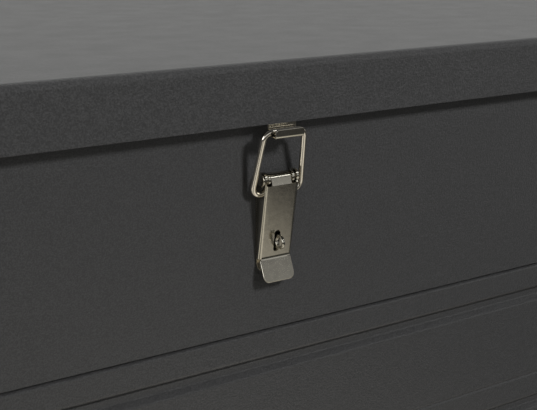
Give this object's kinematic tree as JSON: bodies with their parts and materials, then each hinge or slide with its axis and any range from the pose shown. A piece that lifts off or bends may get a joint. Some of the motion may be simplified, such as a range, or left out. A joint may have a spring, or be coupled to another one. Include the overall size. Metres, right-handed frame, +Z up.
{
  "type": "jobsite storage box",
  "caption": "Sheet steel jobsite storage chest with a hinged folded lid, front draw latch with padlock eye, slotted lid stays, side drop handles and fork skids.",
  "frame": {"origin": "middle of the box's plan, at the ground under the skids", "axes": "+X along the front to the right, +Y from the front to the back, +Z up"},
  "size_m": [1.036, 0.5648, 0.548],
  "materials": {
    "dark_powder_paint": "matte textured powder coat",
    "nickel_plate": "polished nickel",
    "zinc_plate": "bright zinc plate",
    "black_rubber": "matte"
  },
  "bodies": {
    "body": {"back_left_post": "dark_powder_paint", "back_lower_panel": "dark_powder_paint", "back_right_post": "dark_powder_paint", "back_upper_panel": "dark_powder_paint", "corner_bolts": "zinc_plate", "corner_nuts": "zinc_plate", "floor_panel": "dark_powder_paint", "front_left_post": "dark_powder_paint", "front_lower_panel": "dark_powder_paint", "front_right_post": "dark_powder_paint", "front_upper_panel": "dark_powder_paint", "handle_rivets": "zinc_plate", "hinge_body_rivets": "zinc_plate", "latch_base": "nickel_plate", "latch_pin": "nickel_plate", "latch_rivets": "nickel_plate", "left_handle_bracket": "zinc_plate", "left_hinge_body_leaf": "zinc_plate", "left_hinge_pin": "zinc_plate", "left_lower_panel": "dark_powder_paint", "left_skid": "dark_powder_paint", "left_stay_stud": "zinc_plate", "left_upper_panel": "dark_powder_paint", "lid_seal": "black_rubber", "middle_hinge_body_leaf": "zinc_plate", "middle_hinge_pin": "zinc_plate", "right_handle_bracket": "zinc_plate", "right_hinge_body_leaf": "zinc_plate", "right_hinge_pin": "zinc_plate", "right_lower_panel": "dark_powder_paint", "right_skid": "dark_powder_paint", "right_stay_stud": "zinc_plate", "right_upper_panel": "dark_powder_paint", "skid_bolts": "zinc_plate", "skid_nuts": "zinc_plate"},
    "lid": {"hinge_lid_rivets": "zinc_plate", "latch_keeper": "nickel_plate", "left_hinge_lid_leaf": "zinc_plate", "left_lid_rib": "dark_powder_paint", "left_stay_bracket": "zinc_plate", "left_stay_pin": "zinc_plate", "lid_shell": "dark_powder_paint", "middle_hinge_lid_leaf": "zinc_plate", "right_hinge_lid_leaf": "zinc_plate", "right_lid_rib": "dark_powder_paint", "right_stay_bracket": "zinc_plate", "right_stay_pin": "zinc_plate"},
    "latch_lever": {"latch_lever": "nickel_plate"},
    "latch_bail": {"latch_bail": "nickel_plate"},
    "left_stay": {"left_stay_arm": "zinc_plate"},
    "right_stay": {"right_stay_arm": "zinc_plate"},
    "left_handle": {"left_handle_bar": "zinc_plate", "left_handle_grip": "black_rubber"},
    "right_handle": {"right_handle_bar": "zinc_plate", "right_handle_grip": "black_rubber"}
  },
  "joints": [
    {"name": "lid_hinge", "type": "hinge", "parent": "body", "child": "lid", "pos_m": [0, 0.27835, 0.513], "axis": [-1, 0, 0], "range_deg": [0, 100]},
    {"name": "latch_lever_pivot", "type": "hinge", "parent": "body", "child": "latch_lever", "pos_m": [0, -0.27185, 0.49], "axis": [-1, 0, 0], "range_deg": [0, 95]},
    {"name": "latch_bail_pivot", "type": "hinge", "parent": "latch_lever", "child": "latch_bail", "pos_m": [0, -0.26985, 0.4824], "axis": [-1, 0, 0], "range_deg": [-79, 0]},
    {"name": "left_stay_pivot", "type": "hinge", "parent": "lid", "child": "left_stay", "pos_m": [-0.477, 0.13935, 0.52], "axis": [-1, 0, 0], "range_deg": [-50, 0]},
    {"name": "right_stay_pivot", "type": "hinge", "parent": "lid", "child": "right_stay", "pos_m": [0.477, 0.13935, 0.52], "axis": [-1, 0, 0], "range_deg": [-50, 0]},
    {"name": "left_handle_swing", "type": "hinge", "parent": "body", "child": "left_handle", "pos_m": [-0.51, 0.00385, 0.484], "axis": [0, 1, 0], "range_deg": [0, 90]},
    {"name": "right_handle_swing", "type": "hinge", "parent": "body", "child": "right_handle", "pos_m": [0.51, 0.00385, 0.484], "axis": [0, -1, 0], "range_deg": [0, 90]}
  ],
  "couplings": [
    {"joint": "latch_bail_pivot", "follows": "latch_lever_pivot", "ratio": -0.83},
    {"joint": "left_stay_pivot", "follows": "lid_hinge", "ratio": -0.5},
    {"joint": "right_stay_pivot", "follows": "lid_hinge", "ratio": -0.5}
  ]
}
